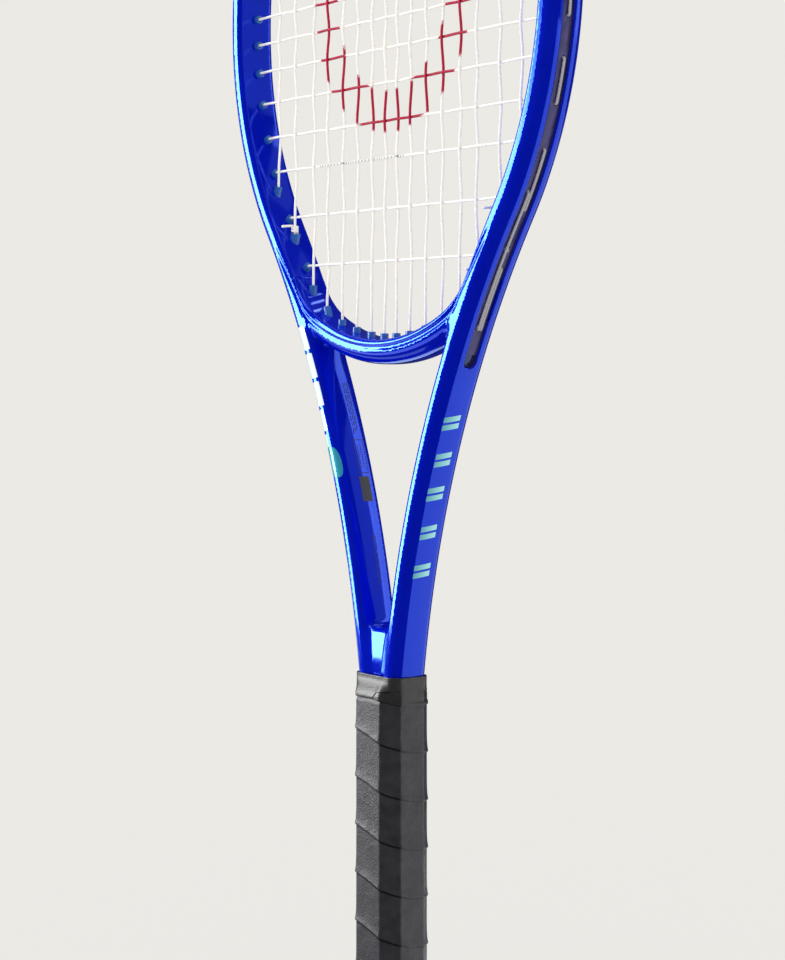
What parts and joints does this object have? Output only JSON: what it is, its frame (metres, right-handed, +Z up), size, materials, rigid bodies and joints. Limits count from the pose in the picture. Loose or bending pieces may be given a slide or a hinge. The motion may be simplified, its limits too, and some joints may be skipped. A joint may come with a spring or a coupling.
{
  "type": "tennis racket",
  "caption": "Strung tennis racket with a blue hairpin frame, throat bridge, grommet strips, bumper guard and a wrapped octagonal handle.",
  "frame": {"origin": "centre of the butt cap's end face", "axes": "+Z up the long axis from the butt to the tip, string bed in the XZ plane, front of the racket faces -Y"},
  "size_m": [0.2652, 0.035, 0.6858],
  "materials": {
    "frame_paint": "glossy metallic clearcoat over carbon composite",
    "guard_plastic": "satin",
    "grommet_plastic": "satin",
    "string": "glossy multifilament",
    "foam": "matt moulded foam",
    "cap_plastic": "satin",
    "staple_steel": "satin",
    "grip": "satin synthetic leather",
    "tape": "satin vinyl tape"
  },
  "bodies": {
    "racket": {"frame_tube": "frame_paint", "throat_bridge": "frame_paint", "bumper_guard": "guard_plastic", "grommet_strip_left": "grommet_plastic", "grommet_strip_right": "grommet_plastic", "throat_grommet_strip": "grommet_plastic", "main_string": "string", "cross_string": "string", "handle_foam": "foam", "butt_cap": "cap_plastic", "staples": "staple_steel", "grip_wrap": "grip", "finishing_tape": "tape"},
    "door": {"trap_door": "cap_plastic"}
  },
  "joints": [
    {"name": "trap_door", "type": "slide", "parent": "racket", "child": "door", "axis": [0, 0, -1], "range_m": [0, 0.012]}
  ]
}
